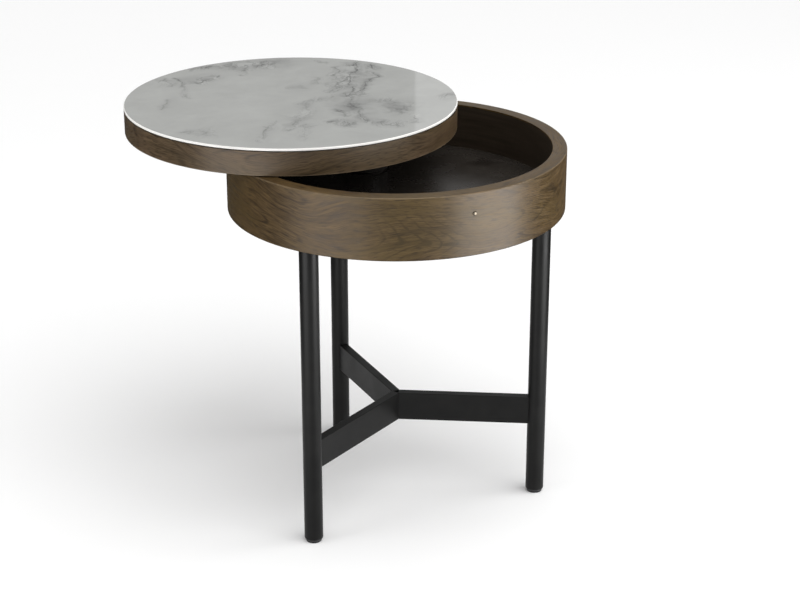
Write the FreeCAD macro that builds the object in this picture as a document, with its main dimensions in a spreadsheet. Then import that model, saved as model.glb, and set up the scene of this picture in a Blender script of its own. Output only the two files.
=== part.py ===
import FreeCAD, Part
import math
import os
from types import SimpleNamespace

import Sketcher
from FreeCAD import Placement, Rotation, Vector

# Round side table: a walnut drum on three steel legs, with a ceramic-faced lid that swings aside on a
# post inside the drum. Millimetres. The origin is on the floor under the drum's centre, +Z is up, -Y is
# the front, where the stud is, and the back leg and the swivel lie on +Y. The lid is drawn swung open.

doc = FreeCAD.newDocument("side_table")
sheet = doc.addObject("Spreadsheet::Sheet", "sizes")

driving_sizes = {
    # The drum: an 18 mm bent hoop, veneered both sides, with a lipping on its rim.
    "drum_radius": 225,
    "drum_bottom": 423,
    "drum_height": 81.5,
    "drum_wall": 19.2,
    "veneer": 0.6,
    "lipping_depth": 2,
    "rim_bevel": 0.8,
    "rim_inner_bevel": 0.5,
    "floor_panel": 18,
    "floor_rebate": 6,
    "floor_sheet": 1.5,
    "glue_gap": 0.1,
    "sheet_margin": 0.2,
    # The lid, as wide as the drum.
    "lid_gap": 1.5,
    "lid_wood": 33,
    "slab_depth": 3,
    "slab_arris": 0.6,
    "groove_height": 1.2,
    "groove_inset": 1.6,
    "lid_opening": 110,
    # The swivel, on the line from the drum's centre to the back leg.
    "pivot_offset": 100,
    "base_radius": 70,
    "base_depth": 5,
    "base_margin": 0.2,
    "boss_radius": 27,
    "boss_rise": 1.8,
    "spindle_radius": 21,
    "spindle_wall": 4,
    "spindle_web": 12,
    "tenon_side": 16,
    "tenon_rise": 2.8,
    "tap_radius": 4,
    "running_gap": 0.05,
    "collar_radius": 28,
    "thrust_depth": 1.2,
    "collar_depth": 1.5,
    "column_radius": 32,
    "column_bore": 27,
    "column_clearance": 1,
    "counterbore_radius": 29,
    "bush_length": 20,
    "end_play": 0.2,
    "cap_room": 11.3,
    "flange_radius": 60,
    "flange_depth": 5,
    "stop_depth": 3,
    "stop_hub": 24,
    "stop_lug": 28,
    "stop_pin_radius": 2,
    "stop_pin_tip": 25,
    "stop_play": 0.1,
    "stop_pin_lift": 0.4,
    # Fasteners.
    "bolt_circle": 52,
    "bolt_radius": 3,
    "bolt_collar": 7,
    "bolt_collar_depth": 1.5,
    "bolt_hex_corner": 5.6,
    "bolt_head_depth": 4,
    "flange_screw_circle": 46,
    "flange_screw_radius": 2.5,
    "flange_screw_bite": 20,
    "plate_screw_radius": 2.2,
    "plate_screw_bite": 11,
    "screw_head_radius": 4.2,
    "screw_head_depth": 2.4,
    "hole_margin": 0.25,
    "pilot_margin": 0.05,
    "cap_radius": 14,
    "cap_crown": 9,
    "cap_edge": 1.5,
    "cap_height": 3.8,
    "cap_shank": 14,
    # The legs, on a circle just inside the drum's wall.
    "leg_circle": 194.7,
    "leg_radius": 12.5,
    "leg_wall": 2,
    "plate_depth": 4,
    "plate_inner": 158,
    "plate_outer": 212,
    "plate_half_width": 25,
    "plate_corner": 8,
    "plate_screw_across": 17.5,
    "plate_screw_inner": 166,
    "plate_screw_outer": 204,
    # The flat bars that tie the legs together at the middle.
    "stretcher_top": 145.5,
    "stretcher_height": 40,
    "stretcher_thickness": 12,
    "stretcher_edge": 0.6,
    "saw_overrun": 2,
    # The feet.
    "pad_radius": 10.2,
    "pad_depth": 1.2,
    "pad_arris": 0.4,
    "glide_taper": 4.2,
    "glide_stem": 22,
    "glide_rib": 0.45,
    "glide_rib_slope": 0.9,
    "glide_rib_pitch": 6,
    # The polished stud on the drum's front.
    "stud_drop": 26.5,
    "stud_radius": 2.8,
    "stud_rise": 1.8,
    "stud_round": 1.6,
    "stud_shank_radius": 1.5,
    "stud_shank": 10,
}


class Size:
    # A length or a sum of lengths: its number now, and the sheet formula that drives it.
    def __init__(self, number, formula):
        self.number = number
        self.formula = formula

    def __add__(self, other):
        return Size(self.number + number_of(other), f"({self.formula} + {formula_of(other)})")

    def __sub__(self, other):
        return Size(self.number - number_of(other), f"({self.formula} - {formula_of(other)})")

    def __mul__(self, factor):
        return Size(self.number * factor, f"({self.formula} * {factor!r})")

    def __neg__(self):
        return self * -1


def number_of(size):
    return size.number if isinstance(size, Size) else size


def formula_of(size):
    return size.formula if isinstance(size, Size) else repr(size)


def fill_sheet():
    sizes = {}
    for row, (alias, number) in enumerate(driving_sizes.items(), start=1):
        sheet.set(f"A{row}", alias)
        sheet.set(f"B{row}", str(number))
        sheet.setAlias(f"B{row}", alias)
        sizes[alias] = Size(number, f"sizes.{alias}")
    doc.recompute()
    return SimpleNamespace(**sizes)


d = fill_sheet()

# Heights that several pieces share.
rim_top = d.drum_bottom + d.drum_height
hoop_top = rim_top - d.lipping_depth
panel_top = d.drum_bottom + d.floor_panel
lid_bottom = rim_top + d.lid_gap
slab_bottom = lid_bottom + d.lid_wood
base_bottom = panel_top - d.base_depth
boss_top = panel_top + d.boss_rise
collar_bottom = boss_top + d.thrust_depth
column_bottom = collar_bottom + d.collar_depth
column_top = lid_bottom - d.flange_depth
spindle_top = column_top - d.cap_room
upper_bush_top = spindle_top - d.end_play
upper_bush_seat = upper_bush_top - d.collar_depth
stop_top = spindle_top + d.stop_depth
stop_pin_height = upper_bush_top + d.stop_pin_radius + d.stop_pin_lift
plate_bottom = d.drum_bottom - d.plate_depth
glide_top = d.pad_depth + d.glide_taper
stud_height = rim_top - d.stud_drop

# Radii that several pieces share.
core_outer = d.drum_radius - d.veneer
lining_inner = d.drum_radius - d.drum_wall
core_inner = lining_inner + d.veneer
panel_edge = core_inner + d.floor_rebate

# The turn of each leg about the drum's axis, from the back leg on +Y.
leg_turns = {"back": 0, "front_left": 120, "front_right": 240}
leg_count = len(leg_turns)
flange_screw_count = 6
hexagon_sides = 6
glide_rib_count = 3

pieces = []


def new_piece(label):
    body = doc.addObject("PartDesign::Body", label)
    body.Label = label
    body.AllowCompound = True
    pieces.append(body)
    return body


def sketch_on(body, plane, offset=None):
    planes = {feature.Role: feature for feature in body.Origin.OriginFeatures}
    sketch = body.newObject("Sketcher::SketchObject", body.Label + "_sketch")
    sketch.AttachmentSupport = [(planes[plane], "")]
    sketch.MapMode = "FlatFace"
    if offset is not None:
        sketch.AttachmentOffset = Placement(Vector(0, 0, offset.number), Rotation())
        sketch.setExpression("AttachmentOffset.Base.z", offset.formula)
    return sketch


def bind_constraint(sketch, constraint, size):
    index = sketch.addConstraint(constraint)
    sketch.setExpression(f"Constraints[{index}]", formula_of(size))


def hold_point(sketch, geometry, point, across, up):
    # Fixes a point by its two distances from the sketch's origin. A plain 0 puts it on the axis.
    for kind, axis, size in (("DistanceX", -2, across), ("DistanceY", -1, up)):
        if isinstance(size, Size):
            distance = Sketcher.Constraint(kind, -1, 1, geometry, point, size.number)
            bind_constraint(sketch, distance, size)
        else:
            sketch.addConstraint(Sketcher.Constraint("PointOnObject", geometry, point, axis))


def draw_outline(sketch, corners):
    places = [Vector(number_of(across), number_of(up), 0) for across, up in corners]
    lines = []
    for start, end in zip(places, places[1:] + places[:1]):
        lines.append(sketch.addGeometry(Part.LineSegment(start, end)))
    for line, following in zip(lines, lines[1:] + lines[:1]):
        sketch.addConstraint(Sketcher.Constraint("Coincident", line, 2, following, 1))
    for line, (across, up) in zip(lines, corners):
        hold_point(sketch, line, 1, across, up)


def draw_circle(sketch, across, up, radius):
    centre = Vector(number_of(across), number_of(up), 0)
    circle = sketch.addGeometry(Part.Circle(centre, Vector(0, 0, 1), radius.number))
    hold_point(sketch, circle, 3, across, up)
    bind_constraint(sketch, Sketcher.Constraint("Radius", circle, radius.number), radius)


def rectangle(left, bottom, right, top):
    return [(left, bottom), (right, bottom), (right, top), (left, top)]


def keep_tip(body, feature):
    body.Tip = feature
    doc.recompute()
    return feature


def revolve(body, corners):
    # Turns a half section, drawn as (radius, height) corners, about the body's Z axis.
    sketch = sketch_on(body, "XZ_Plane")
    draw_outline(sketch, corners)
    feature = body.newObject("PartDesign::Revolution", body.Label + "_turned")
    feature.Profile = sketch
    feature.ReferenceAxis = (sketch, ["V_Axis"])
    feature.Angle = 360
    return keep_tip(body, feature)


def turned_piece(label, corners):
    body = new_piece(label)
    revolve(body, corners)
    return body


def ring_piece(label, inner, outer, bottom, top):
    return turned_piece(label, rectangle(inner, bottom, outer, top))


def pad(body, sketch, depth, reverse=False):
    feature = body.newObject("PartDesign::Pad", body.Label + "_pad")
    feature.Profile = sketch
    feature.Length = depth.number
    feature.setExpression("Length", depth.formula)
    feature.Reversed = reverse
    return keep_tip(body, feature)


def cut(body, sketch, depth=None, reverse=False):
    # Cuts to a depth, or right through the piece both ways, and refuses a cut that takes nothing away.
    volume_before = body.Shape.Volume
    feature = body.newObject("PartDesign::Pocket", body.Label + "_cut")
    feature.Profile = sketch
    if depth is None:
        feature.Type = "ThroughAll"
        feature.SideType = "Symmetric"
    else:
        feature.Length = depth.number
        feature.setExpression("Length", depth.formula)
        feature.Reversed = reverse
    keep_tip(body, feature)
    if body.Shape.Volume >= volume_before:
        raise RuntimeError(f"{body.Label}: a cut takes nothing away")
    return feature


def repeat_round(body, features, count):
    # Repeats features evenly about the body's Z axis.
    axis = next(line for line in body.Origin.OriginFeatures if line.Role == "Z_Axis")
    pattern = body.newObject("PartDesign::PolarPattern", body.Label + "_ring")
    pattern.Originals = features
    pattern.Axis = (axis, [""])
    pattern.Angle = 360
    pattern.Occurrences = count
    return keep_tip(body, pattern)


def round_edges(body, radius, chosen):
    names = [f"Edge{n}" for n, edge in enumerate(body.Shape.Edges, start=1) if chosen(edge)]
    base = body.Tip
    feature = body.newObject("PartDesign::Fillet", body.Label + "_rounded")
    feature.Base = (base, names)
    feature.Radius = radius.number
    feature.setExpression("Radius", radius.formula)
    return keep_tip(body, feature)


def is_upright(edge):
    box = edge.BoundBox
    return box.ZLength > 0 and box.XLength < 1e-6 and box.YLength < 1e-6


def place_on_pivot(body, turn=0):
    body.Placement = Placement(Vector(0, d.pivot_offset.number, 0), Rotation(Vector(0, 0, 1), turn))
    body.setExpression("Placement.Base.y", d.pivot_offset.formula)


def place_on_lid(body):
    # The lid's pieces are drawn with the lid shut, then swung open, clockwise from above.
    swing = d.lid_opening.number
    opening = f"{d.lid_opening.formula} * 1 deg"
    body.Placement = Placement(Vector(), Rotation(Vector(0, 0, 1), -swing))
    body.setExpression("Placement.Base.x", f"-{d.pivot_offset.formula} * sin({opening})")
    body.setExpression("Placement.Base.y", f"{d.pivot_offset.formula} * (1 - cos({opening}))")


def place_on_leg(body, turn):
    body.Placement = Placement(Vector(), Rotation(Vector(0, 0, 1), turn))
    body.setExpression("Placement.Base.x", f"-{d.leg_circle.formula} * sin({turn} deg)")
    body.setExpression("Placement.Base.y", f"{d.leg_circle.formula} * cos({turn} deg)")


def turn_about_table(body, turn):
    body.Placement = Placement(Vector(), Rotation(Vector(0, 0, 1), turn))


def make_drum_wall():
    # The hoop is rebated below for the floor panel, and drilled for the stud's shank.
    hoop = turned_piece("drum_hoop", [
        (panel_edge, d.drum_bottom),
        (core_outer, d.drum_bottom),
        (core_outer, hoop_top),
        (core_inner, hoop_top),
        (core_inner, panel_top),
        (panel_edge, panel_top),
    ])
    skin = ring_piece("drum_veneer", core_outer, d.drum_radius, d.drum_bottom, hoop_top)
    for wall in (hoop, skin):
        sketch = sketch_on(wall, "XZ_Plane", d.drum_radius - d.stud_shank)
        draw_circle(sketch, 0, stud_height, d.stud_shank_radius + d.pilot_margin)
        cut(wall, sketch, d.stud_shank + d.stud_rise, reverse=True)
    ring_piece("well_lining", lining_inner, core_inner, panel_top, hoop_top)
    turned_piece("rim_lipping", [
        (lining_inner, hoop_top),
        (d.drum_radius, hoop_top),
        (d.drum_radius, rim_top - d.rim_bevel),
        (d.drum_radius - d.rim_bevel, rim_top),
        (lining_inner + d.rim_inner_bevel, rim_top),
        (lining_inner, rim_top - d.rim_inner_bevel),
    ])


def make_front_stud():
    stud = turned_piece("front_stud", [
        (0, -d.stud_shank),
        (d.stud_shank_radius, -d.stud_shank),
        (d.stud_shank_radius, 0),
        (d.stud_radius, 0),
        (d.stud_radius, d.stud_rise),
        (0, d.stud_rise),
    ])
    crown = d.stud_rise.number
    round_edges(stud, d.stud_round, lambda edge: edge.BoundBox.ZMin > crown - 1e-6 and edge.Closed)
    stud.Placement = Placement(Vector(), Rotation(Vector(1, 0, 0), 90))
    stud.setExpression("Placement.Base.y", f"-{d.drum_radius.formula}")
    stud.setExpression("Placement.Base.z", stud_height.formula)


def make_drum_floor():
    # The panel is sunk for the swivel's base plate and drilled for its bolts and for the leg screws.
    # The sheet over it has a hole wider than the column, so that it lifts out past it.
    panel = ring_piece("drum_floor", 0, panel_edge - d.glue_gap, d.drum_bottom, panel_top)
    recess = sketch_on(panel, "XY_Plane", panel_top)
    draw_circle(recess, 0, d.pivot_offset, d.base_radius + d.base_margin)
    cut(panel, recess, d.base_depth)
    bolt_holes = sketch_on(panel, "XY_Plane", d.drum_bottom)
    for across, along in bolt_places():
        draw_circle(bolt_holes, across, along + d.pivot_offset, d.bolt_radius + d.hole_margin)
    cut(panel, bolt_holes)
    pilots = sketch_on(panel, "XY_Plane", d.drum_bottom)
    draw_plate_screws(pilots, d.plate_screw_radius + d.pilot_margin)
    pilot_cut = cut(panel, pilots, d.plate_screw_bite + d.pilot_margin, reverse=True)
    repeat_round(panel, [pilot_cut], leg_count)

    cover = ring_piece("well_floor", 0, lining_inner - d.sheet_margin, panel_top, panel_top + d.floor_sheet)
    opening = sketch_on(cover, "XY_Plane", panel_top)
    draw_circle(opening, 0, d.pivot_offset, d.column_radius + d.column_clearance)
    cut(cover, opening)


def bolt_places():
    step = d.bolt_circle * math.sqrt(0.5)
    return [(step, step), (-step, step), (-step, -step), (step, -step)]


def make_swivel_base():
    base = turned_piece("swivel_base", [
        (d.spindle_radius, base_bottom),
        (d.base_radius, base_bottom),
        (d.base_radius, panel_top),
        (d.boss_radius, panel_top),
        (d.boss_radius, boss_top),
        (d.spindle_radius, boss_top),
    ])
    tapped = sketch_on(base, "XY_Plane", base_bottom)
    for across, along in bolt_places():
        draw_circle(tapped, across, along, d.bolt_radius)
    cut(base, tapped)
    place_on_pivot(base)


def make_base_bolts():
    # Flanged hex bolts, put in from under the drum and ending flush in the plate's tapped holes.
    bolts = new_piece("base_bolts")
    collar_low = d.drum_bottom - d.bolt_collar_depth
    shanks = sketch_on(bolts, "XY_Plane", d.drum_bottom)
    collars = sketch_on(bolts, "XY_Plane", d.drum_bottom)
    heads = sketch_on(bolts, "XY_Plane", collar_low)
    for across, along in bolt_places():
        draw_circle(shanks, across, along, d.bolt_radius)
        draw_circle(collars, across, along, d.bolt_collar)
        angles = [math.tau * side / hexagon_sides for side in range(hexagon_sides)]
        draw_outline(heads, [
            (across + d.bolt_hex_corner * math.cos(angle), along + d.bolt_hex_corner * math.sin(angle))
            for angle in angles
        ])
    pad(bolts, shanks, d.floor_panel)
    pad(bolts, collars, d.bolt_collar_depth, reverse=True)
    pad(bolts, heads, d.bolt_head_depth, reverse=True)
    place_on_pivot(bolts)


def make_spindle():
    # A tube welded into the base, closed on top by a tapped web with a square tenon.
    web_bottom = spindle_top - d.spindle_web
    bore = d.spindle_radius - d.spindle_wall
    spindle = turned_piece("spindle", [
        (bore, base_bottom),
        (d.spindle_radius, base_bottom),
        (d.spindle_radius, spindle_top),
        (d.tap_radius, spindle_top),
        (d.tap_radius, web_bottom),
        (bore, web_bottom),
    ])
    half = d.tenon_side * 0.5
    tenon = sketch_on(spindle, "XY_Plane", spindle_top)
    draw_outline(tenon, rectangle(-half, -half, half, half))
    draw_circle(tenon, 0, 0, d.tap_radius)
    pad(spindle, tenon, d.tenon_rise)
    place_on_pivot(spindle)


def make_bearing():
    # Two flanged bushes in the column run on the spindle, and a loose washer carries the weight.
    run = d.spindle_radius + d.running_gap
    washer_bore = run + d.pilot_margin
    place_on_pivot(ring_piece("thrust_washer", washer_bore, d.collar_radius, boss_top, collar_bottom))
    lower = turned_piece("lower_bush", [
        (run, collar_bottom),
        (d.collar_radius, collar_bottom),
        (d.collar_radius, column_bottom),
        (d.column_bore, column_bottom),
        (d.column_bore, column_bottom + d.bush_length),
        (run, column_bottom + d.bush_length),
    ])
    upper = turned_piece("upper_bush", [
        (run, upper_bush_seat - d.bush_length),
        (d.column_bore, upper_bush_seat - d.bush_length),
        (d.column_bore, upper_bush_seat),
        (d.counterbore_radius - d.glue_gap, upper_bush_seat),
        (d.counterbore_radius - d.glue_gap, upper_bush_top),
        (run, upper_bush_top),
    ])
    for bush in (lower, upper):
        place_on_pivot(bush, -d.lid_opening.number)


def make_column():
    column = turned_piece("swivel_column", [
        (d.column_bore, column_bottom),
        (d.column_radius, column_bottom),
        (d.column_radius, column_top),
        (d.counterbore_radius, column_top),
        (d.counterbore_radius, upper_bush_seat),
        (d.column_bore, upper_bush_seat),
    ])
    pin_hole = sketch_on(column, "XZ_Plane")
    draw_circle(pin_hole, 0, stop_pin_height, d.stop_pin_radius)
    cut(column, pin_hole, d.column_radius)
    place_on_pivot(column, -d.lid_opening.number)

    flange = ring_piece("column_flange", d.counterbore_radius, d.flange_radius, column_top, lid_bottom)
    hole = sketch_on(flange, "XY_Plane", column_top)
    draw_circle(hole, d.flange_screw_circle, 0, d.flange_screw_radius + d.hole_margin)
    repeat_round(flange, [cut(flange, hole)], flange_screw_count)
    place_on_pivot(flange, -d.lid_opening.number)


def make_flange_screws():
    screws = new_piece("flange_screws")
    shank = sketch_on(screws, "XY_Plane", column_top)
    draw_circle(shank, d.flange_screw_circle, 0, d.flange_screw_radius)
    head = sketch_on(screws, "XY_Plane", column_top)
    draw_circle(head, d.flange_screw_circle, 0, d.screw_head_radius)
    shank_pad = pad(screws, shank, d.flange_depth + d.flange_screw_bite)
    head_pad = pad(screws, head, d.screw_head_depth, reverse=True)
    repeat_round(screws, [shank_pad, head_pad], flange_screw_count)
    place_on_pivot(screws, -d.lid_opening.number)


def make_stop():
    # The washer, held on the spindle's tenon, keeps the lid down. A pin in the column meets the ends of
    # its lug, so that the lid swings half a turn: from shut to fully aside.
    washer = new_piece("stop_washer")
    hub = sketch_on(washer, "XY_Plane", spindle_top)
    draw_circle(hub, 0, 0, d.stop_hub)
    pad(washer, hub, d.stop_depth)
    lug = sketch_on(washer, "XY_Plane", spindle_top)
    draw_half_disc(lug, d.stop_lug, -(d.stop_pin_radius + d.stop_play))
    pad(washer, lug, d.stop_depth)
    half = d.tenon_side * 0.5 + d.running_gap
    square = sketch_on(washer, "XY_Plane", spindle_top)
    draw_outline(square, rectangle(-half, -half, half, half))
    cut(washer, square)
    place_on_pivot(washer)

    shank = d.tap_radius - d.running_gap
    place_on_pivot(turned_piece("retaining_screw", [
        (0, stop_top - d.cap_shank),
        (shank, stop_top - d.cap_shank),
        (shank, stop_top),
        (d.cap_radius, stop_top),
        (d.cap_radius, stop_top + d.cap_edge),
        (d.cap_crown, stop_top + d.cap_height),
        (0, stop_top + d.cap_height),
    ]))

    pin = new_piece("stop_pin")
    tip = sketch_on(pin, "XZ_Plane", -d.stop_pin_tip)
    draw_circle(tip, 0, stop_pin_height, d.stop_pin_radius)
    pad(pin, tip, d.column_radius - d.stop_pin_tip - d.sheet_margin, reverse=True)
    place_on_pivot(pin, -d.lid_opening.number)


def draw_half_disc(sketch, radius, edge):
    # The part of a disc on the -X side of a straight edge.
    corner = math.acos(edge.number / radius.number)
    circle = Part.Circle(Vector(), Vector(0, 0, 1), radius.number)
    arc = sketch.addGeometry(Part.ArcOfCircle(circle, corner, math.tau - corner))
    line = sketch.addGeometry(Part.LineSegment(circle.value(math.tau - corner), circle.value(corner)))
    sketch.addConstraint(Sketcher.Constraint("Coincident", arc, 3, -1, 1))
    sketch.addConstraint(Sketcher.Constraint("Coincident", arc, 2, line, 1))
    sketch.addConstraint(Sketcher.Constraint("Coincident", line, 2, arc, 1))
    sketch.addConstraint(Sketcher.Constraint("Vertical", line))
    bind_constraint(sketch, Sketcher.Constraint("Radius", arc, radius.number), radius)
    bind_constraint(sketch, Sketcher.Constraint("DistanceX", -1, 1, line, 1, edge.number), edge)


def make_lid():
    groove_bottom = slab_bottom - d.groove_height
    slab = turned_piece("ceramic_top", [
        (0, slab_bottom),
        (d.drum_radius, slab_bottom),
        (d.drum_radius, slab_bottom + d.slab_depth - d.slab_arris),
        (d.drum_radius - d.slab_arris, slab_bottom + d.slab_depth),
        (0, slab_bottom + d.slab_depth),
    ])
    core = turned_piece("lid_core", [
        (0, lid_bottom + d.veneer),
        (core_outer, lid_bottom + d.veneer),
        (core_outer, groove_bottom),
        (d.drum_radius - d.groove_inset, groove_bottom),
        (d.drum_radius - d.groove_inset, slab_bottom),
        (0, slab_bottom),
    ])
    edge = ring_piece("lid_edge_veneer", core_outer, d.drum_radius, lid_bottom, groove_bottom)
    backing = ring_piece("lid_backing", 0, core_outer, lid_bottom, lid_bottom + d.veneer)
    for board in (core, backing):
        pilots = sketch_on(board, "XY_Plane", lid_bottom)
        for number in range(flange_screw_count):
            angle = math.tau * number / flange_screw_count
            across = d.flange_screw_circle * math.cos(angle)
            along = d.flange_screw_circle * math.sin(angle) + d.pivot_offset
            draw_circle(pilots, across, along, d.flange_screw_radius + d.pilot_margin)
        cut(board, pilots, d.flange_screw_bite + d.pilot_margin, reverse=True)
    for piece in (slab, core, edge, backing):
        place_on_lid(piece)


def make_leg(name, turn):
    bore = d.leg_radius - d.leg_wall
    place_on_leg(ring_piece("leg_" + name, bore, d.leg_radius, glide_top, plate_bottom), turn)

    plate = new_piece("leg_plate_" + name)
    sketch = sketch_on(plate, "XY_Plane", plate_bottom)
    draw_outline(sketch, rectangle(-d.plate_half_width, d.plate_inner, d.plate_half_width, d.plate_outer))
    pad(plate, sketch, d.plate_depth)
    round_edges(plate, d.plate_corner, is_upright)
    holes = sketch_on(plate, "XY_Plane", plate_bottom)
    draw_plate_screws(holes, d.plate_screw_radius + d.hole_margin)
    cut(plate, holes)
    turn_about_table(plate, turn)


def draw_plate_screws(sketch, radius):
    for along in (d.plate_screw_inner, d.plate_screw_outer):
        for across in (-d.plate_screw_across, d.plate_screw_across):
            draw_circle(sketch, across, along, radius)


def make_plate_screws():
    screws = new_piece("leg_plate_screws")
    shanks = sketch_on(screws, "XY_Plane", plate_bottom)
    draw_plate_screws(shanks, d.plate_screw_radius)
    heads = sketch_on(screws, "XY_Plane", plate_bottom)
    draw_plate_screws(heads, d.screw_head_radius)
    shank_pad = pad(screws, shanks, d.plate_depth + d.plate_screw_bite)
    head_pad = pad(screws, heads, d.screw_head_depth, reverse=True)
    repeat_round(screws, [shank_pad, head_pad], leg_count)


def make_stretcher(name, turn):
    # Flat bar on edge, with eased corners, cut to a point at the middle and coped to the round leg.
    bar = new_piece("stretcher_" + name)
    half = d.stretcher_thickness * 0.5
    low = d.stretcher_top - d.stretcher_height
    stock = sketch_on(bar, "XZ_Plane")
    draw_outline(stock, rectangle(-half, low, half, d.stretcher_top))
    pad(bar, stock, d.leg_circle - d.leg_radius + d.saw_overrun, reverse=True)
    round_edges(bar, d.stretcher_edge, lambda edge: edge.BoundBox.YLength > d.stretcher_height.number)
    overrun = half + d.saw_overrun
    rise = overrun * math.tan(math.radians(90 - 180 / leg_count))
    ends = sketch_on(bar, "XY_Plane", low)
    draw_outline(ends, [(-overrun, -half), (overrun, -half), (overrun, rise), (0, 0), (-overrun, rise)])
    draw_circle(ends, 0, d.leg_circle, d.leg_radius)
    cut(bar, ends)
    turn_about_table(bar, turn)


def make_glide(name, turn):
    # Plastic plug pressed into the tube, with ribs on its stem and a tapered head, on a disc of felt.
    bore = d.leg_radius - d.leg_wall - d.running_gap
    stem = bore - d.glide_rib
    profile = [(0, d.pad_depth), (d.pad_radius, d.pad_depth), (d.leg_radius, glide_top), (stem, glide_top)]
    for number in range(1, glide_rib_count + 1):
        crest = glide_top + d.glide_rib_pitch * number
        profile += [
            (stem, crest - d.glide_rib - d.glide_rib_slope),
            (bore, crest - d.glide_rib),
            (bore, crest),
            (stem, crest + d.glide_rib),
        ]
    profile += [(stem, glide_top + d.glide_stem), (0, glide_top + d.glide_stem)]
    place_on_leg(turned_piece("glide_" + name, profile), turn)
    place_on_leg(turned_piece("glide_pad_" + name, [
        (0, 0),
        (d.pad_radius - d.pad_arris, 0),
        (d.pad_radius, d.pad_arris),
        (d.pad_radius, d.pad_depth),
        (0, d.pad_depth),
    ]), turn)


def export_pieces():
    doc.recompute()
    failed = [item.Label for item in doc.Objects if "Invalid" in item.State or "Error" in item.State]
    failed += [piece.Label for piece in pieces if piece.Shape.isNull() or not piece.Shape.isValid()]
    if failed:
        raise RuntimeError("not built: " + ", ".join(failed))
    os.makedirs("parts", exist_ok=True)
    for piece in pieces:
        piece.Shape.exportStep(f"parts/{piece.Label}.step")
        print(f"{piece.Label}: {len(piece.Shape.Solids)} solid(s), {piece.Shape.Volume / 1000:.1f} cm3")


make_drum_wall()
make_front_stud()
make_drum_floor()
make_swivel_base()
make_base_bolts()
make_spindle()
make_bearing()
make_column()
make_flange_screws()
make_stop()
make_lid()
make_plate_screws()
for leg_name, leg_turn in leg_turns.items():
    make_leg(leg_name, leg_turn)
    make_stretcher(leg_name, leg_turn)
    make_glide(leg_name, leg_turn)
export_pieces()
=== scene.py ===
import math

import bmesh
import bpy
import numpy as np
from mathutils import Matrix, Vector


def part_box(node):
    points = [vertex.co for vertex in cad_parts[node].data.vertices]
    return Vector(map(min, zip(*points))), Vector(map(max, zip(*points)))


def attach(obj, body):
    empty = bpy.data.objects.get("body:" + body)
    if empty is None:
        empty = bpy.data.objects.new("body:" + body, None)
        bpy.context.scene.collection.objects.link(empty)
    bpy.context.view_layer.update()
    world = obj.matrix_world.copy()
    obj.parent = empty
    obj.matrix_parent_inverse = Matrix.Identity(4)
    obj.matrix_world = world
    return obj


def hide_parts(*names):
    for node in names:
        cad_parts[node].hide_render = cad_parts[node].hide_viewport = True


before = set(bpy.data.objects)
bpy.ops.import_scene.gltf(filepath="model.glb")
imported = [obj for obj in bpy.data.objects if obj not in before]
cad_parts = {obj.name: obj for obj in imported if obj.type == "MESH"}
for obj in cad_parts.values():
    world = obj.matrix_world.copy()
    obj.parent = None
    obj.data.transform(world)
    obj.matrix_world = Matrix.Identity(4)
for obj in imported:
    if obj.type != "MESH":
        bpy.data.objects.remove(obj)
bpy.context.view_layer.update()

# Round side table with its ceramic-faced lid swung aside: shells, finishes, light and camera.
# Metres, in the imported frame: floor at z 0, front of the drum towards -Y.

scene = bpy.context.scene
mm = 0.001
print("frame loaded,", len(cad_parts), "nodes")


def linear(colour):
    # sRGB hex to linear: the usual straight toe, then a power of 2.4
    channels = np.array([int(colour[at:at + 2], 16) for at in (1, 3, 5)]) / 255
    curve = np.where(channels <= 0.04045, channels / 12.92, ((channels + 0.055) / 1.055) ** 2.4)
    return (*curve, 1.0)


def addNode(tree, kind, settings={}, inputs={}, stops=()):
    node = tree.nodes.new(kind)
    for name, value in settings.items():
        setattr(node, name, value)
    for socket, value in inputs.items():
        if isinstance(value, bpy.types.NodeSocket):
            tree.links.new(value, node.inputs[socket])
        else:
            node.inputs[socket].default_value = value
    if stops:
        ramp = node.color_ramp.elements
        for place, _ in stops[1:-1]:
            ramp.new(place)
        for element, (place, colour) in zip(ramp, stops):
            element.position = place
            element.color = linear(colour)
    return node


def newMaterial(name):
    material = bpy.data.materials.new(name)
    material.use_nodes = True
    material.node_tree.nodes.clear()
    return material, material.node_tree


# Walnut veneer, flat-cut, laid with its grain round the rim, stained grey-brown and sprayed with satin
# lacquer: fine streaks that sweep up and down round the wall, a few dark growth lines along them that
# bend into arches, short dark pores, and a smooth film over it all that carries broad soft reflections.
walnut = dict(
    # two bundles of veneer: the drum's is warmer, the lid's greyer; tones from dark to pale, then the tint
    drumSheet=(((0.0, "#2a1f11"), (0.35, "#43331d"), (0.62, "#534126"), (1.0, "#685335")), "#564622"),
    lidSheet=(((0.0, "#291f16"), (0.35, "#423425"), (0.62, "#524230"), (1.0, "#67543f")), "#54462d"),
    pore="#241a0d",
    arris=("#a3927a", 0.22, 0.6, 1.7),  # painted highlight along the eased edges: tone, strength, and mm from the corner where it fades
    sweep=44,       # mm that the grain rises and falls
    ripple=4,       # mm of smaller waves along it
    layers=dict(    # length along the grain and width across it in mm, then octaves of detail
        sweep=(190, 120, 1.0),
        ripple=(38, 34, 1.5),
        mottle=(130, 60, 2.0),
        patch=(120, 14, 2.0),
        figure=(275, 42, 0.5),
        growth=(120, 9.0, 3.0),
        fibre=(30, 1.0, 3.0),    # drawn about twice as wide as real fibre bundles
        pores=(11, 0.8, 0.0),    # real pores are nearer 0.3 mm wide
    ),
    rings=13,       # growth lines from the lowest to the highest of the figure's noise
    # arches of the flat cut: turn round the drum and lean in degrees, height above the floor,
    # mm between the lines, half length and half height in mm, and strength
    arches=((-106, -8, 447, 20, 84, 62, 1.35),),
    fall=1.7,       # how far the sides of an arch fall back for each mm of height
    tip=6,          # mm, the rounding of its tip
    shake=2.6,      # lines by which the ripple shifts it
    relief=0.04,    # mm
)


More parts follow.
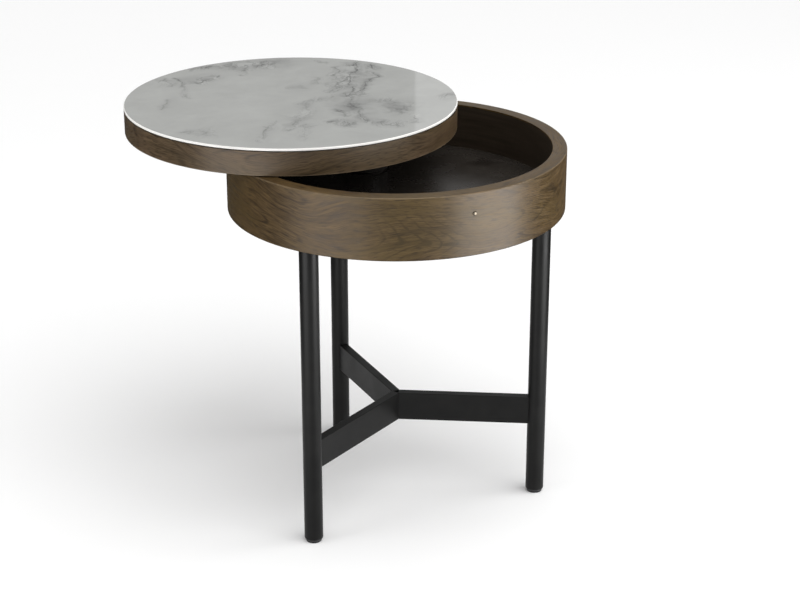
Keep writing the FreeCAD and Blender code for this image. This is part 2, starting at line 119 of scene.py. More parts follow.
def archLines(tree, placed, radius, ripple, line):
    # Level lines of the way along plus the fall times the root of height squared plus tip squared, counted
    # in lines and shaken by the ripple. Where they are stronger than the lines so far, they take over.
    for turn, lean, height, apart, long, tall, strength in walnut["arches"]:
        turn = math.radians(turn)
        local = addNode(tree, "ShaderNodeMapping", {"vector_type": "TEXTURE"}, {
            "Vector": placed, "Location": (radius * math.cos(turn), radius * math.sin(turn), height * mm),
            "Rotation": (math.radians(lean), 0, turn), "Scale": (long * mm, long * mm, tall * mm)}).outputs[0]
        away = addNode(tree, "ShaderNodeVectorMath", {"operation": "LENGTH"}, {0: local}).outputs["Value"]
        inside = addNode(tree, "ShaderNodeMapRange", {"interpolation_type": "SMOOTHSTEP"}, {
            0: away, 1: 0.4, 2: 1.0, 3: strength, 4: 0.0}).outputs[0]
        parts = addNode(tree, "ShaderNodeSeparateXYZ", {}, {0: local}).outputs
        along = addNode(tree, "ShaderNodeMath", {"operation": "MULTIPLY"}, {
            0: parts[1], 1: long / apart}).outputs[0]
        shaken = addNode(tree, "ShaderNodeMath", {"operation": "MULTIPLY_ADD"}, {
            0: ripple, 1: walnut["shake"], 2: along}).outputs[0]
        square = addNode(tree, "ShaderNodeMath", {"operation": "MULTIPLY"}, {
            0: parts[2], 1: parts[2]}).outputs[0]
        rounded = addNode(tree, "ShaderNodeMath", {"operation": "ADD"}, {
            0: square, 1: (walnut["tip"] / tall) ** 2}).outputs[0]
        side = addNode(tree, "ShaderNodeMath", {"operation": "SQRT"}, {0: rounded}).outputs[0]
        arch = addNode(tree, "ShaderNodeMath", {"operation": "MULTIPLY_ADD"}, {
            0: side, 1: walnut["fall"] * tall / apart, 2: shaken}).outputs[0]
        wave = addNode(tree, "ShaderNodeMath", {"operation": "PINGPONG"}, {0: arch, 1: 0.5}).outputs[0]
        drawn = addNode(tree, "ShaderNodeMapRange", {"interpolation_type": "SMOOTHSTEP"}, {
            0: wave, 1: 0.31, 2: 0.5, 3: 0.0, 4: inside}).outputs[0]
        line = addNode(tree, "ShaderNodeMath", {"operation": "MAXIMUM"}, {0: line, 1: drawn}).outputs[0]
    return line


def walnutVeneer(name, sheet, centre, seed, corner=None):
    material, tree = newMaterial(name)
    tones, tint = walnut[sheet]
    place = addNode(tree, "ShaderNodeTexCoord").outputs["Object"]
    placed = addNode(tree, "ShaderNodeMapping", {}, {
        "Vector": place, "Location": (-centre[0], -centre[1], 0)}).outputs[0]
    axes = addNode(tree, "ShaderNodeSeparateXYZ", {}, {0: placed}).outputs
    flat = addNode(tree, "ShaderNodeCombineXYZ", {}, {0: axes[0], 1: axes[1]}).outputs[0]
    radius = addNode(tree, "ShaderNodeVectorMath", {"operation": "LENGTH"}, {0: flat}).outputs["Value"]
    # across the grain: up the wall and outwards on the flat rim, or along Y on a flat sheet
    across = addNode(tree, "ShaderNodeMath", {"operation": "ADD"}, {
        0: radius if corner else axes[1], 1: axes[2]}).outputs[0]
    layer = {}
    for key, (length, width, detail) in walnut["layers"].items():
        drawn = addNode(tree, "ShaderNodeMath", {"operation": "MULTIPLY"}, {0: across, 1: length / width})
        spot = addNode(tree, "ShaderNodeCombineXYZ", {}, {
            0: axes[0], 1: axes[1 if corner else 2], 2: drawn.outputs[0]})
        layer[key] = addNode(tree, "ShaderNodeTexNoise", {"noise_dimensions": "4D"}, {
            "Vector": spot.outputs[0], "W": seed, "Scale": 1 / (length * mm), "Detail": detail,
        }).outputs[0]
        if key in walnut:  # the grain itself rises and falls, and the finer layers follow it
            across = addNode(tree, "ShaderNodeMath", {"operation": "MULTIPLY_ADD"}, {
                0: layer[key], 1: 2 * walnut[key] * mm, 2: across}).outputs[0]
    # tone: streaks and patches lighten, growth lines darken
    streak = addNode(tree, "ShaderNodeMapRange", {}, {
        0: layer["fibre"], 1: 0.32, 2: 0.68, 3: 0.0, 4: 0.6}).outputs[0]
    patchy = addNode(tree, "ShaderNodeMapRange", {}, {
        0: layer["patch"], 1: 0.3, 2: 0.7, 3: 0.11, 4: 0.49}).outputs[0]
    warm = addNode(tree, "ShaderNodeMath", {"operation": "ADD"}, {0: streak, 1: patchy}).outputs[0]
    # growth lines: level lines of a smooth noise, nested in arches, fading in and out
    turns = addNode(tree, "ShaderNodeMath", {"operation": "MULTIPLY"}, {
        0: layer["figure"], 1: walnut["rings"]}).outputs[0]
    wave = addNode(tree, "ShaderNodeMath", {"operation": "PINGPONG"}, {0: turns, 1: 0.5}).outputs[0]
    line = addNode(tree, "ShaderNodeMapRange", {"interpolation_type": "SMOOTHSTEP"}, {
        0: wave, 1: 0.37, 2: 0.5, 3: 0.0, 4: 1.0}).outputs[0]
    shown = addNode(tree, "ShaderNodeMapRange", {}, {
        0: layer["growth"], 1: 0.36, 2: 0.6, 3: 0.1, 4: 1.0}).outputs[0]
    if sheet == "drumSheet":
        line = archLines(tree, placed, corner[0], layer["ripple"], line)
    late = addNode(tree, "ShaderNodeMath", {"operation": "MULTIPLY"}, {0: line, 1: shown}).outputs[0]
    tone = addNode(tree, "ShaderNodeMath", {"operation": "MULTIPLY_ADD"}, {
        0: late, 1: -0.5, 2: warm}).outputs[0]
    wood = addNode(tree, "ShaderNodeValToRGB", {}, {0: tone}, tones).outputs[0]
    greener = addNode(tree, "ShaderNodeMapRange", {}, {
        0: layer["mottle"], 1: 0.4, 2: 0.65, 3: 0.0, 4: 0.45}).outputs[0]
    tinted = addNode(tree, "ShaderNodeMix", {"data_type": "RGBA"}, {
        0: greener, 6: wood, 7: linear(tint)}).outputs[2]
    pits = addNode(tree, "ShaderNodeMapRange", {"interpolation_type": "SMOOTHSTEP"}, {
        0: layer["pores"], 1: 0.56, 2: 0.7, 3: 0.0, 4: 0.58}).outputs[0]
    colour = addNode(tree, "ShaderNodeMix", {"data_type": "RGBA"}, {
        0: pits, 6: tinted, 7: linear(walnut["pore"])}).outputs[2]
    if corner:  # the circle, radius and height, where wall and rim would meet without the eased arris
        # painted highlight: the wood is mixed towards a paler tone near the eased edge, fading with distance
        # from that corner
        edgeHighlightTone, strength, near, far = walnut["arris"]
        around = addNode(tree, "ShaderNodeCombineXYZ", {}, {0: radius, 1: axes[2]}).outputs[0]
        away = addNode(tree, "ShaderNodeVectorMath", {"operation": "DISTANCE"}, {
            0: around, 1: (*corner, 0)}).outputs["Value"]
        paintedEdgeHighlight = addNode(tree, "ShaderNodeMapRange", {}, {
            0: away, 1: near * mm, 2: far * mm, 3: strength, 4: 0.0}).outputs[0]
        colour = addNode(tree, "ShaderNodeMix", {"data_type": "RGBA"}, {
            0: paintedEdgeHighlight, 6: colour, 7: linear(edgeHighlightTone)}).outputs[2]
    bump = addNode(tree, "ShaderNodeBump", {}, {
        "Strength": 0.3, "Distance": walnut["relief"] * mm, "Height": streak}).outputs[0]
    satin = addNode(tree, "ShaderNodeMapRange", {}, {
        0: layer["fibre"], 1: 0.3, 2: 0.7, 3: 0.28, 4: 0.52}).outputs[0]
    shader = addNode(tree, "ShaderNodeBsdfPrincipled", {}, {
        "Base Color": colour, "Roughness": satin, "Normal": bump, "IOR": 1.5, "Specular IOR Level": 0.2,
        "Coat Weight": 0.03, "Coat Roughness": 0.2})
    addNode(tree, "ShaderNodeOutputMaterial", {}, {0: shader.outputs[0]})
    return material


# Sintered ceramic slab, its marble figure printed under a clear polished glaze: cool grey ground with
# pale drifts, smoky clouds and thin dark threads gathered along veins, and a sharp mirror-like reflection.
slabPrint = dict(
    ground=((0.3, "#a9aaa7"), (0.7, "#b2b3b0")),
    vein="#646563",
    drift="#c1c2bf",
    push=((90, 9), (26, 7)),   # mm: size of the waves in the veins and how far they push
    cloud=46,      # mm
    blotch=10,     # mm, the spots that the smoke is made of
    crackle=14,    # mm between the fine threads inside the smoke
    drag=(58, 3.0),  # degrees: the way that blotches and threads are drawn out, and how many times
    haze=1.6,      # how much wider than told the smoke spreads
    thread=2.0,    # mm, half width of a vein's own thread, soft to its edge
    # veins: both ends in mm from the slab's centre, half width of the smoke in mm, thread and smoke strengths
    veins=(
        (160, 150, 127, 82, 13, 0.8, 0.9),
        (127, 82, 86, 45, 14, 0.8, 0.9),
        (182, 122, 142, 60, 10, 0.8, 0.7),
        (142, 60, 112, 15, 10, 0.7, 0.8),
        (112, 15, 79, -22, 12, 0.7, 0.9),
        (126, 130, 90, 49, 10, 0.7, 0.7),
        (168, 148, 118, 70, 6, 0.8, 0.5),
        (120, 72, 88, 20, 6, 0.8, 0.5),
        (172, 108, 130, 36, 5, 0.8, 0.4),
        (104, 40, 84, -6, 6, 0.8, 0.6),
        (90, 52, 62, 8, 16, 0.3, 0.8),
        (70, -22, 102, -20, 11, 0.9, 1.0),
        (79, -24, 66, -62, 11, 0.6, 0.6),
        (66, -62, 52, -105, 8, 0.7, 0.6),
        (52, -103, 47, -142, 9, 0.6, 0.7),
        (41, -78, 26, -98, 9, 0.4, 0.7),
        (4, -116, 28, -140, 16, 0.4, 1.0),
        (58, -150, 84, -164, 15, 0.2, 1.0),
        (118, -140, 104, -168, 11, 0.2, 0.9),
        (97, -122, 142, -82, 14, 0.2, 0.45),
        (105, -52, 128, -64, 16, 0.2, 0.6),
        (60, -18, 15, -24, 14, 0.2, 0.5),
        (15, -24, -26, -86, 12, 0.1, 0.6),
        (-26, -84, -60, -146, 9, 0.2, 0.6),
        (-58, -86, -86, -120, 7, 0.35, 0.5),
        (-86, -120, -112, -170, 6, 0.45, 0.5),
        (-22, -110, -52, -184, 10, 0.1, 0.4),
        (-180, -88, -148, -100, 22, 0.0, 0.45),
        (-92, 128, -54, 158, 11, 0.9, 1.0),
        (-127, 172, -124, 132, 12, 0.3, 0.8),
        (-101, 170, -112, 112, 6, 0.5, 0.6),
        (-112, 112, -124, 62, 6, 0.35, 0.4),
        (-150, 72, -170, 22, 6, 0.3, 0.45),
        (-75, 205, -30, 212, 12, 0.3, 0.9),
        (-15, 205, 45, 182, 22, 0.4, 1.0),
        (0, 180, -24, 140, 7, 0.4, 0.5),
        (75, 92, 60, 55, 9, 0.2, 0.5),
        (22, 62, 40, 50, 8, 0.1, 0.3),
        (187, -84, 215, -62, 14, 0.3, 0.8),
        (110, 172, 124, 160, 8, 0.3, 0.5),
    ),
    # veils of thin smoke: middle, half length and half width in mm, turn in degrees, strength
    veils=(
        (122, 70, 120, 52, 57, 0.5),
        (66, -70, 110, 62, 75, 0.6),
        (112, -98, 75, 50, 55, 0.62),
        (-15, -70, 85, 48, 55, 0.36),
        (-88, -130, 65, 30, 50, 0.25),
        (-85, 150, 70, 42, 40, 0.4),
        (25, 188, 110, 48, 0, 0.58),
        (-155, 40, 80, 30, 65, 0.22),
        (-160, -95, 55, 35, 10, 0.3),
        (35, 50, 55, 35, 45, 0.25),
        (190, -78, 45, 30, 35, 0.4),
    ),
)


def printedCeramic(centre):
    material, tree = newMaterial("sintered_ceramic_printed_and_polished")
    place = addNode(tree, "ShaderNodeTexCoord").outputs["Object"]
    pushed = addNode(tree, "ShaderNodeMapping", {}, {
        "Vector": place, "Location": (-centre[0], -centre[1], 0)}).outputs[0]
    for size, reach in slabPrint["push"]:
        wave = addNode(tree, "ShaderNodeTexNoise", {}, {
            "Vector": pushed, "Scale": 1 / (size * mm), "Detail": 4.0}).outputs[1]
        shove = addNode(tree, "ShaderNodeVectorMath", {"operation": "MULTIPLY_ADD"}, {
            0: wave, 1: (4 * reach * mm, 4 * reach * mm, 0),
            2: (-2 * reach * mm, -2 * reach * mm, 0)}).outputs[0]
        pushed = addNode(tree, "ShaderNodeVectorMath", {"operation": "ADD"}, {0: pushed, 1: shove}).outputs[0]
    way, times = slabPrint["drag"]
    dragged = addNode(tree, "ShaderNodeMapping", {"vector_type": "TEXTURE"}, {
        "Vector": pushed, "Rotation": (0, 0, math.radians(way)), "Scale": (times, 1, 1)}).outputs[0]
    layers = {"thread": None, "smoke": None}
    for x0, y0, x1, y1, spread, threadStrength, smokeStrength in slabPrint["veins"]:
        half = math.hypot(x1 - x0, y1 - y0) / 2
        along = addNode(tree, "ShaderNodeMapping", {"vector_type": "TEXTURE"}, {
            "Vector": pushed, "Location": ((x0 + x1) / 2 * mm, (y0 + y1) / 2 * mm, 0),
            "Rotation": (0, 0, math.atan2(y1 - y0, x1 - x0)), "Scale": (half * mm, mm, 1)}).outputs[0]
        sides = addNode(tree, "ShaderNodeVectorMath", {"operation": "ABSOLUTE"}, {0: along}).outputs[0]
        parts = addNode(tree, "ShaderNodeSeparateXYZ", {}, {0: sides}).outputs
        fade = addNode(tree, "ShaderNodeMapRange", {"interpolation_type": "SMOOTHSTEP"}, {
            0: parts[0], 1: 0.8, 2: 1.0 + 0.7 * spread / half, 3: 1.0, 4: 0.0}).outputs[0]
        for key, width, strength in (("thread", slabPrint["thread"], threadStrength),
                                     ("smoke", spread * slabPrint["haze"], smokeStrength)):
            core = addNode(tree, "ShaderNodeMapRange", {"interpolation_type": "SMOOTHSTEP"}, {
                0: parts[1], 1: 0.0, 2: width, 3: strength, 4: 0.0}).outputs[0]
            drawn = addNode(tree, "ShaderNodeMath", {"operation": "MULTIPLY"}, {0: core, 1: fade}).outputs[0]
            layers[key] = drawn if layers[key] is None else addNode(
                tree, "ShaderNodeMath", {"operation": "MAXIMUM"}, {0: layers[key], 1: drawn}).outputs[0]
    veil = None
    for x, y, long, wide, turn, strength in slabPrint["veils"]:
        around = addNode(tree, "ShaderNodeMapping", {"vector_type": "TEXTURE"}, {
            "Vector": pushed, "Location": (x * mm, y * mm, 0), "Rotation": (0, 0, math.radians(turn)),
            "Scale": (long * mm, wide * mm, 100)}).outputs[0]
        away = addNode(tree, "ShaderNodeVectorMath", {"operation": "LENGTH"}, {0: around}).outputs["Value"]
        soft = addNode(tree, "ShaderNodeMapRange", {"interpolation_type": "SMOOTHSTEP"}, {
            0: away, 1: 0.0, 2: 1.0, 3: strength, 4: 0.0}).outputs[0]
        veil = soft if veil is None else addNode(
            tree, "ShaderNodeMath", {"operation": "MAXIMUM"}, {0: veil, 1: soft}).outputs[0]
    cloud = addNode(tree, "ShaderNodeTexNoise", {}, {
        "Vector": pushed, "Scale": 1 / (slabPrint["cloud"] * mm), "Detail": 6.0, "Roughness": 0.6}).outputs[0]
    blotch = addNode(tree, "ShaderNodeTexNoise", {}, {
        "Vector": dragged, "Scale": 1 / (slabPrint["blotch"] * mm), "Detail": 4.0,
        "Roughness": 0.6}).outputs[0]
    fine = addNode(tree, "ShaderNodeTexNoise", {}, {
        "Vector": dragged, "Scale": 1 / (slabPrint["crackle"] * mm), "Detail": 5.0,
        "Roughness": 0.6}).outputs[0]
    # smoke shows where clouds or small blotches are thick, crackle along the level lines of the finer noise
    thick = addNode(tree, "ShaderNodeMapRange", {}, {0: cloud, 1: 0.36, 2: 0.7, 3: 0.0, 4: 0.42}).outputs[0]
    spotted = addNode(tree, "ShaderNodeMapRange", {}, {
        0: blotch, 1: 0.46, 2: 0.7, 3: 0.0, 4: 0.42}).outputs[0]
    clotted = addNode(tree, "ShaderNodeMath", {"operation": "ADD"}, {0: thick, 1: spotted}).outputs[0]
    level = addNode(tree, "ShaderNodeMath", {"operation": "SUBTRACT"}, {0: fine, 1: 0.5}).outputs[0]
    off = addNode(tree, "ShaderNodeMath", {"operation": "ABSOLUTE"}, {0: level}).outputs[0]
    crackle = addNode(tree, "ShaderNodeMapRange", {}, {0: off, 1: 0.0, 2: 0.035, 3: 0.55, 4: 0.0}).outputs[0]
    inside = addNode(tree, "ShaderNodeMath", {"operation": "ADD"}, {0: clotted, 1: crackle}).outputs[0]
    haze = addNode(tree, "ShaderNodeMath", {"operation": "MULTIPLY"}, {
        0: inside, 1: layers["smoke"]}).outputs[0]
    broken = addNode(tree, "ShaderNodeMapRange", {}, {0: fine, 1: 0.42, 2: 0.6, 3: 0.0, 4: 0.9}).outputs[0]
    drawn = addNode(tree, "ShaderNodeMath", {"operation": "MULTIPLY_ADD"}, {
        0: layers["thread"], 1: broken, 2: haze}).outputs[0]
    drifting = addNode(tree, "ShaderNodeMapRange", {}, {
        0: cloud, 1: 0.36, 2: 0.66, 3: 0.0, 4: 1.0}).outputs[0]
    shade = addNode(tree, "ShaderNodeMath", {"operation": "MULTIPLY_ADD", "use_clamp": True}, {
        0: veil, 1: drifting, 2: drawn}).outputs[0]
    thin = addNode(tree, "ShaderNodeMapRange", {}, {0: cloud, 1: 0.5, 2: 0.3, 3: 0.0, 4: 0.7}).outputs[0]
    pale = addNode(tree, "ShaderNodeMath", {"operation": "MULTIPLY"}, {
        0: thin, 1: layers["smoke"]}).outputs[0]
    ground = addNode(tree, "ShaderNodeValToRGB", {}, {0: cloud}, slabPrint["ground"]).outputs[0]
    drifted = addNode(tree, "ShaderNodeMix", {"data_type": "RGBA"}, {
        0: pale, 6: ground, 7: linear(slabPrint["drift"])}).outputs[2]
    colour = addNode(tree, "ShaderNodeMix", {"data_type": "RGBA"}, {
        0: shade, 6: drifted, 7: linear(slabPrint["vein"])}).outputs[2]
    shader = addNode(tree, "ShaderNodeBsdfPrincipled", {}, {
        "Base Color": colour, "Roughness": 0.05, "IOR": 1.5})
    addNode(tree, "ShaderNodeOutputMaterial", {}, {0: shader.outputs[0]})
    return material


# What the plainer finishes need: two tones that a fine noise mixes, its size in mm, the relief in mm,
# and the shine. Each comment names the real surface and what it gives the eye.
plainFinishes = dict(
    # ceramic body, ground and polished on the slab's edge: bright, dense, faintly speckled
    ceramicBody=dict(tones=("#f3f1ed", "#fcfbf8"), grain=1.2, relief=0.0, rough=(0.28, 0.36),
                     shader={"Specular IOR Level": 0.12}),
    # steel tube, chemically blackened and oiled: dark, faintly mottled, with a soft oily sheen
    blackOxide=dict(tones=("#2b2825", "#383430"), grain=2.5, relief=0.008, rough=(0.28, 0.36),
                    shader={"Specular IOR Level": 0.5}),
    # steel, shot-blasted and powder-coated satin black: even, finely pebbled, soft grey highlights
    powderCoat=dict(tones=("#0d0d0d", "#151514"), grain=0.9, relief=0.015, rough=(0.35, 0.45),
                    shader={"Specular IOR Level": 0.16}),
    # walnut veneer stained nearly black, matt lacquer: the drum's lining
    stainedWalnut=dict(tones=("#2c241a", "#3f3428"), grain=2.2, stretch=(1, 1, 0.05), relief=0.05,
                       rough=(0.45, 0.6), shader={"Specular IOR Level": 0.3}),
    # birch ply and fibreboard, stained brown where the edge shows: fibrous and dull
    stainedBoard=dict(tones=("#2d2318", "#433626"), grain=1.1, stretch=(1, 1, 0.35), relief=0.06,
                      rough=(0.62, 0.78)),
    # mild steel, turned and left bright: grey with a brushed sheen
    turnedSteel=dict(tones=("#8d8f91", "#b4b6b8"), grain=0.7, stretch=(1, 1, 0.08), relief=0.01,
                     rough=(0.24, 0.38), shader={"Metallic": 1.0}),
    # steel screws, zinc-plated: bluish silver, a little cloudy
    zincPlate=dict(tones=("#9fa4a8", "#c3c7ca"), grain=1.6, relief=0.004, rough=(0.26, 0.4),
                   shader={"Metallic": 1.0}),
    # acetal, machined bearing bushes: milky and waxy
    acetal=dict(tones=("#d6d3c8", "#e2dfd5"), grain=1.0, relief=0.006, rough=(0.34, 0.42)),
    # polypropylene, moulded black with a spark-eroded grain: dull grey-black
    mouldedPlastic=dict(tones=("#0c0c0c", "#141414"), grain=0.6, relief=0.02, rough=(0.46, 0.58)),
    # wool felt, die-cut: dark, fibrous, no shine
    woolFelt=dict(tones=("#050505", "#0b0b0c"), grain=0.8, relief=0.1, rough=(0.85, 0.95),
                  shader={"Specular IOR Level": 0.05}),
    # nickel-plated brass, polished: a small bright mirror
    polishedNickel=dict(tones=("#4e483f", "#5c564c"), grain=1.5, relief=0.0, rough=(0.07, 0.12),
                        shader={"Metallic": 1.0}),
)


def plainFinish(name, tones, grain, relief, rough, stretch=(1, 1, 1), shader={}):
    material, tree = newMaterial(name)
    place = addNode(tree, "ShaderNodeTexCoord").outputs["Object"]
    drawn = addNode(tree, "ShaderNodeMapping", {}, {
        "Vector": place, "Scale": tuple(1 / share for share in stretch)}).outputs[0]
    fine = addNode(tree, "ShaderNodeTexNoise", {}, {
        "Vector": drawn, "Scale": 1 / (grain * mm), "Detail": 2.0}).outputs[0]
    broad = addNode(tree, "ShaderNodeTexNoise", {}, {
        "Vector": drawn, "Scale": 0.03 / (grain * mm), "Detail": 3.0}).outputs[0]
    mixed = addNode(tree, "ShaderNodeMath", {"operation": "MULTIPLY_ADD"}, {
        0: fine, 1: 0.5, 2: broad}).outputs[0]
    tone = addNode(tree, "ShaderNodeMapRange", {}, {0: mixed, 1: 0.5, 2: 1.0, 3: 0.0, 4: 1.0}).outputs[0]
    colour = addNode(tree, "ShaderNodeMix", {"data_type": "RGBA"}, {
        0: tone, 6: linear(tones[0]), 7: linear(tones[1])}).outputs[2]
    shine = addNode(tree, "ShaderNodeMapRange", {}, {
        0: broad, 1: 0.3, 2: 0.7, 3: rough[0], 4: rough[1]}).outputs[0]
    sockets = {"Base Color": colour, "Roughness": shine, **shader}
    if relief:
        sockets["Normal"] = addNode(tree, "ShaderNodeBump", {}, {
            "Strength": 0.5, "Distance": relief * mm, "Height": fine}).outputs[0]
    surface = addNode(tree, "ShaderNodeBsdfPrincipled", {}, sockets)
    addNode(tree, "ShaderNodeOutputMaterial", {}, {0: surface.outputs[0]})
    return material


# High-pressure laminate on the well's floor, dark press-plate finish: nearly even, with a cloudy darker
# patch, a painted highlight as a paler line where the cut edge is eased, and a dim blurred mirror of the
# column and the wall.
wellSheet = dict(
    tones=("#2e2a26", "#383430"),
    cloud=34,             # mm
    patch=(160, 52, 30),  # mm: middle of the darker patch on the table, and its half width
    patchTone="#171310",
    # tone of the painted highlight along the sheet's edge, at the foot of the wall
    edge="#4a4640",
    edgeFrom=204.6,       # mm from the middle of the drum
    edgeSoft=0.4,         # mm over which the line sets in
)


def darkLaminate():
    material, tree = newMaterial("dark_high_pressure_laminate")
    place = addNode(tree, "ShaderNodeTexCoord").outputs["Object"]
    cloud = addNode(tree, "ShaderNodeTexNoise", {}, {
        "Vector": place, "Scale": 1 / (wellSheet["cloud"] * mm), "Detail": 5.0}).outputs[0]
    sheet = addNode(tree, "ShaderNodeMix", {"data_type": "RGBA"}, {
        0: cloud, 6: linear(wellSheet["tones"][0]), 7: linear(wellSheet["tones"][1])}).outputs[2]
    x, y, half = wellSheet["patch"]
    around = addNode(tree, "ShaderNodeMapping", {"vector_type": "TEXTURE"}, {
        "Vector": place, "Location": (x * mm, y * mm, 0), "Scale": (half * mm, half * mm, 10)}).outputs[0]
    away = addNode(tree, "ShaderNodeVectorMath", {"operation": "LENGTH"}, {0: around}).outputs["Value"]
    ragged = addNode(tree, "ShaderNodeMath", {"operation": "MULTIPLY_ADD"}, {
        0: cloud, 1: 1.6, 2: away}).outputs[0]
    # a darker cloudy patch mixed into the sheet's colour around the given middle
    darkerPatch = addNode(tree, "ShaderNodeMapRange", {"interpolation_type": "SMOOTHSTEP"}, {
        0: ragged, 1: 0.8, 2: 1.8, 3: 0.75, 4: 0.0}).outputs[0]
    marked = addNode(tree, "ShaderNodeMix", {"data_type": "RGBA"}, {
        0: darkerPatch, 6: sheet, 7: linear(wellSheet["patchTone"])}).outputs[2]
    level = addNode(tree, "ShaderNodeVectorMath", {"operation": "MULTIPLY"}, {
        0: place, 1: (1, 1, 0)}).outputs[0]
    radius = addNode(tree, "ShaderNodeVectorMath", {"operation": "LENGTH"}, {0: level}).outputs["Value"]
    # painted highlight: a paler line from this radius outwards, along the sheet's eased edge
    edgeHighlight = addNode(tree, "ShaderNodeMapRange", {}, {
        0: radius, 1: wellSheet["edgeFrom"] * mm, 2: (wellSheet["edgeFrom"] + wellSheet["edgeSoft"]) * mm,
        3: 0.0, 4: 1.0}).outputs[0]
    colour = addNode(tree, "ShaderNodeMix", {"data_type": "RGBA"}, {
        0: edgeHighlight, 6: marked, 7: linear(wellSheet["edge"])}).outputs[2]
    polish = addNode(tree, "ShaderNodeMapRange", {}, {0: cloud, 1: 0.3, 2: 0.7, 3: 0.22, 4: 0.3}).outputs[0]
    shader = addNode(tree, "ShaderNodeBsdfPrincipled", {}, {
        "Base Color": colour, "Roughness": polish, "IOR": 1.5, "Specular IOR Level": 0.3})
    addNode(tree, "ShaderNodeOutputMaterial", {}, {0: shader.outputs[0]})
    return material


def roundPlace(node):
    # centre, radius, bottom and top of a round upright node
    low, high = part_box(node)
    middle = (low + high) / 2
    return (middle.x, middle.y), (high.x - low.x) / 2, low.z, high.z


lidCentre, lidRadius, lidBottom, lidJoint = roundPlace("lid_edge_veneer")
drumCentre, drumRadius, drumBottom, _ = roundPlace("drum_veneer")
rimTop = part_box("rim_lipping")[1].z

finish = {name: plainFinish(name, **look) for name, look in plainFinishes.items()}
finish["drumWalnut"] = walnutVeneer(
    "walnut_veneer_satin_lacquer_drum", "drumSheet", drumCentre, 3.0, (drumRadius, rimTop))
finish["lidWalnut"] = walnutVeneer(
    "walnut_veneer_satin_lacquer_lid", "lidSheet", lidCentre, 11.0, (lidRadius, lidBottom))
finish["backingWalnut"] = walnutVeneer("walnut_veneer_satin_lacquer_backing", "lidSheet", lidCentre, 7.0)
finish["slabPrint"] = printedCeramic(lidCentre)
finish["darkLaminate"] = darkLaminate()
print("materials made,", len(finish))


def easedProfile(corners, steps=5, hold=0.5 * mm):
    # Closed outline of (radius, height, easing) corners. Each corner becomes an arc tangent to its two
    # sides, with a holding point a little past each end of the arc that keeps the flats flat.
    corners = np.array(corners, float)
    points, ease = corners[:, :2], corners[:, 2:]
    back = np.roll(points, 1, 0) - points
    ahead = np.roll(points, -1, 0) - points
    back /= np.linalg.norm(back, axis=1, keepdims=True)
    ahead /= np.linalg.norm(ahead, axis=1, keepdims=True)
    half = np.arccos(np.clip((back * ahead).sum(1, keepdims=True), -1, 1)) / 2
    reach = ease / np.tan(half)
    bisector = (back + ahead) / np.linalg.norm(back + ahead, axis=1, keepdims=True)
    middle = points + bisector * ease / np.sin(half)
    start = points + back * reach - middle
    end = points + ahead * reach - middle
    sweep = (np.pi - 2 * half)[:, None]
    part = np.linspace(0, 1, steps + 1)[None, :, None]
    arc = (np.sin((1 - part) * sweep) * start[:, None] + np.sin(part * sweep) * end[:, None]) / np.sin(sweep)
    arc += middle[:, None]
    before = (points + back * (reach + hold))[:, None]
    after = (points + ahead * (reach + hold))[:, None]
    run = np.concatenate([before, arc, after], axis=1).reshape(-1, 2)
    keep = np.linalg.norm(run - np.roll(run, 1, 0), axis=1) > 1e-7
    return run[keep]


def turnedGrid(profile, centre, segments):
    # Every (radius, height) point is carried round the centre: x = cx + r cos a, y = cy + r sin a.
    angle = np.linspace(0, 2 * np.pi, segments, endpoint=False)
    radius, height = profile[:, :1], profile[:, 1:]
    return np.stack([
        centre[0] + radius * np.cos(angle),
        centre[1] + radius * np.sin(angle),
        height + 0 * angle,
    ], axis=-1)


def layPiece(name, node, body, grids, materials, closed=True, rowFinish=None):
    # Grids of points, closed across and, for rings, along, become one smooth shell that replaces a node.
    points, faces, finishes, first = [], [], [], 0
    for grid in grids:
        rows, columns = grid.shape[:2]
        index = first + np.arange(rows * columns).reshape(rows, columns)
        index = np.vstack([index, index[:1]]) if closed else index
        index = np.hstack([index, index[:, :1]])
        quads = np.stack([index[:-1, :-1], index[:-1, 1:], index[1:, 1:], index[1:, :-1]], axis=-1)
        points.append(grid.reshape(-1, 3))
        faces.append(quads.reshape(-1, 4))
        finishes.append(np.repeat(np.zeros(len(quads), int) if rowFinish is None else rowFinish, columns))
        first += rows * columns
    mesh = bpy.data.meshes.new(name)
    mesh.from_pydata(np.concatenate(points).tolist(), [], np.concatenate(faces).tolist())
    for material in materials:
        mesh.materials.append(material)
    mesh.polygons.foreach_set("material_index", np.concatenate(finishes).astype(np.int32))
    shell = bmesh.new()
    shell.from_mesh(mesh)
    bmesh.ops.remove_doubles(shell, verts=shell.verts, dist=0.001 * mm)
    bmesh.ops.recalc_face_normals(shell, faces=shell.faces)
    shell.to_mesh(mesh)
    shell.free()
    mesh.shade_smooth()
    mesh.set_sharp_from_angle(angle=math.radians(40))
    piece = bpy.data.objects.new(name, mesh)
    scene.collection.objects.link(piece)
    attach(piece, body)
    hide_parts(node)
    return piece


